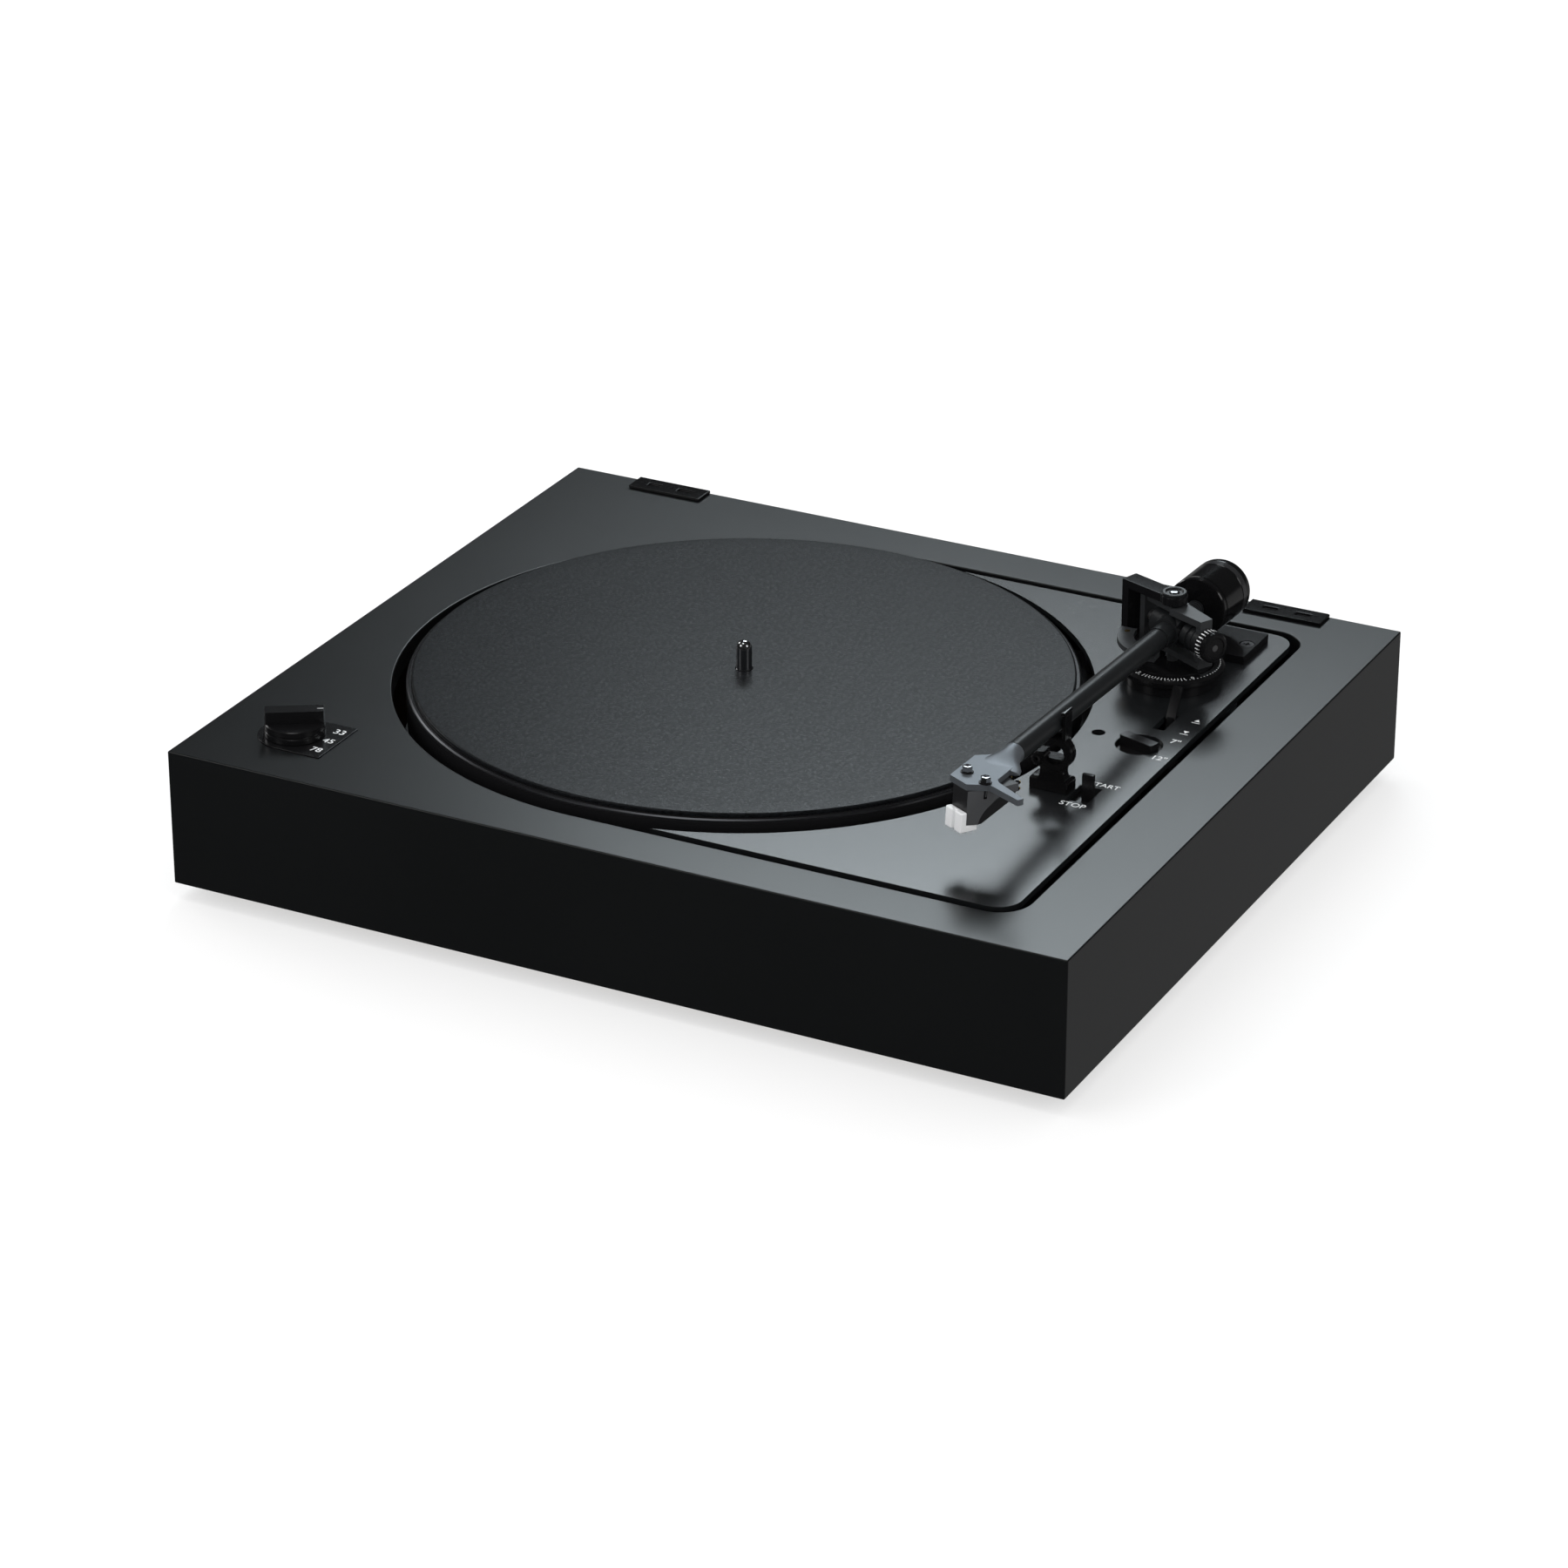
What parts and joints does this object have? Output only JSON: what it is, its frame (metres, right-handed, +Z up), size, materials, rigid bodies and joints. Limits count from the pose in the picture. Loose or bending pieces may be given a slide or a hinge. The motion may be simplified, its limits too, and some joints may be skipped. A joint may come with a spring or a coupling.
{
  "type": "turntable record player",
  "caption": "Low black belt-drive record player: square-edged plinth, flush grey arm panel, felt-covered platter and a straight tube gimbal tonearm with headshell and counterweight.",
  "frame": {"origin": "middle of the plinth footprint, on the surface it stands on", "axes": "+X to the tonearm side (right), +Y to the back, +Z up"},
  "size_m": [0.43, 0.365, 0.1146],
  "materials": {
    "plinth_black": "satin black lacquer on board",
    "plinth_inside": "raw fibreboard",
    "rubber_black": "matte rubber",
    "steel_zinc": "zinc plated",
    "panel_grey": "fine textured grey metallic paint",
    "pan_steel": "black painted pressed steel",
    "platter_alu": "black anodised with a polished edge",
    "felt": "charcoal felt",
    "chrome": "polished",
    "bronze": "sintered bronze",
    "belt_rubber": "ground flat rubber",
    "nylon_white": "moulded nylon",
    "black_plastic": "satin moulded",
    "gloss_black": "glossy moulded",
    "arm_black": "satin black anodised",
    "gimbal_grey": "satin dark grey",
    "head_alu": "bead blasted satin grey",
    "stylus_white": "white moulded",
    "brass": "turned",
    "board_green": "glass fibre board"
  },
  "bodies": {
    "plinth": {"plinth_top": "plinth_black", "plinth_front": "plinth_black", "plinth_back": "plinth_black", "plinth_left": "plinth_black", "plinth_right": "plinth_black", "bottom_cover": "plinth_inside", "rubber_feet": "rubber_black", "foot_screws": "steel_zinc", "chassis_pan": "pan_steel", "arm_panel": "panel_grey", "suspension_springs": "steel_zinc", "bearing_sleeve": "bronze", "thrust_ball": "chrome", "motor": "steel_zinc", "drive_belt": "belt_rubber", "cam_wheel": "nylon_white", "cam_axle": "steel_zinc", "arm_base": "black_plastic", "base_screws": "pan_steel", "bearing_bridge": "arm_black", "bearing_cap": "chrome", "arm_rest": "gloss_black", "lift_damper": "steel_zinc", "cue_bracket": "pan_steel", "start_guide": "black_plastic", "size_switch": "black_plastic", "speed_plate": "black_plastic", "speed_switch": "black_plastic", "lid_sockets": "gloss_black", "socket_panel": "black_plastic", "phono_sockets": "brass", "power_inlet": "gloss_black", "circuit_board": "board_green"},
    "platter": {"platter": "platter_alu", "felt_mat": "felt", "spindle": "chrome", "spindle_pinion": "nylon_white"},
    "pulley": {"motor_pulley": "brass"},
    "antiskate_dial": {"antiskate_dial": "black_plastic"},
    "swivel": {"gimbal_frame": "gimbal_grey", "gimbal_pins": "steel_zinc", "force_drum": "gimbal_grey"},
    "force_dial": {"force_dial": "black_plastic"},
    "tonearm": {"arm_tube": "arm_black", "arm_collar": "gimbal_grey", "weight_stub": "arm_black", "headshell": "head_alu", "cartridge_body": "black_plastic", "stylus_block": "stylus_white", "stylus": "chrome", "cartridge_bolts": "chrome", "cartridge_pins": "brass"},
    "counterweight": {"counterweight": "arm_black"},
    "rest_button": {"rest_button": "gloss_black"},
    "lift": {"lift_plate": "gimbal_grey", "height_screw": "brass"},
    "cue_lever": {"cue_lever": "black_plastic"},
    "start_lever": {"start_lever": "black_plastic"},
    "size_knob": {"size_knob": "black_plastic"},
    "speed_knob": {"speed_knob": "black_plastic"}
  },
  "joints": [
    {"name": "platter_spin", "type": "hinge", "parent": "plinth", "child": "platter", "pos_m": [-0.0275, 0, 0.072], "axis": [0, 0, -1], "continuous": true},
    {"name": "motor_spin", "type": "hinge", "parent": "plinth", "child": "pulley", "pos_m": [-0.112, -0.072, 0.052], "axis": [0, 0, -1], "continuous": true},
    {"name": "arm_swing", "type": "hinge", "parent": "plinth", "child": "swivel", "pos_m": [0.1425, 0.0875, 0.0975], "axis": [0, 0, -1], "range_deg": [0, 38]},
    {"name": "arm_lift", "type": "hinge", "parent": "swivel", "child": "tonearm", "pos_m": [0.1425, 0.0875, 0.0975], "axis": [-0.8829, 0.4695, 0], "range_deg": [0, 5.5]},
    {"name": "weight_slide", "type": "slide", "parent": "tonearm", "child": "counterweight", "axis": [-0.0006, 0.9988, -0.0488], "range_m": [-0.003, 0.007]},
    {"name": "force_turn", "type": "hinge", "parent": "swivel", "child": "force_dial", "pos_m": [0.16546, 0.07529, 0.0975], "axis": [0.8829, -0.4695, 0], "range_deg": [-120, 150]},
    {"name": "antiskate_turn", "type": "hinge", "parent": "plinth", "child": "antiskate_dial", "pos_m": [0.1425, 0.0875, 0.078], "axis": [0, 0, 1], "range_deg": [-70, 80]},
    {"name": "rest_button_turn", "type": "hinge", "parent": "plinth", "child": "rest_button", "pos_m": [0.14885, -0.0383, 0.109], "axis": [0, 0, -1], "range_deg": [0, 90]},
    {"name": "cue_turn", "type": "hinge", "parent": "plinth", "child": "cue_lever", "pos_m": [0.1587, 0.0437, 0.05], "axis": [1, 0, 0], "range_deg": [0, 30]},
    {"name": "lift_travel", "type": "slide", "parent": "plinth", "child": "lift", "axis": [0, 0, 1], "range_m": [-0.0035, 0]},
    {"name": "start_slide", "type": "slide", "parent": "plinth", "child": "start_lever", "axis": [0, 1, 0], "range_m": [-0.0055, 0.0055], "stiffness_N_per_m": 150},
    {"name": "size_turn", "type": "hinge", "parent": "plinth", "child": "size_knob", "pos_m": [0.1577, 0.0172, 0.072], "axis": [0, 0, 1], "range_deg": [0, 52]},
    {"name": "speed_turn", "type": "hinge", "parent": "plinth", "child": "speed_knob", "pos_m": [-0.1745, -0.1425, 0.072], "axis": [0, 0, 1], "range_deg": [-62, 0]}
  ],
  "couplings": [
    {"joint": "motor_spin", "follows": "platter_spin", "ratio": 8.8125},
    {"joint": "lift_travel", "follows": "cue_turn", "m_per_rad": -0.006685}
  ]
}
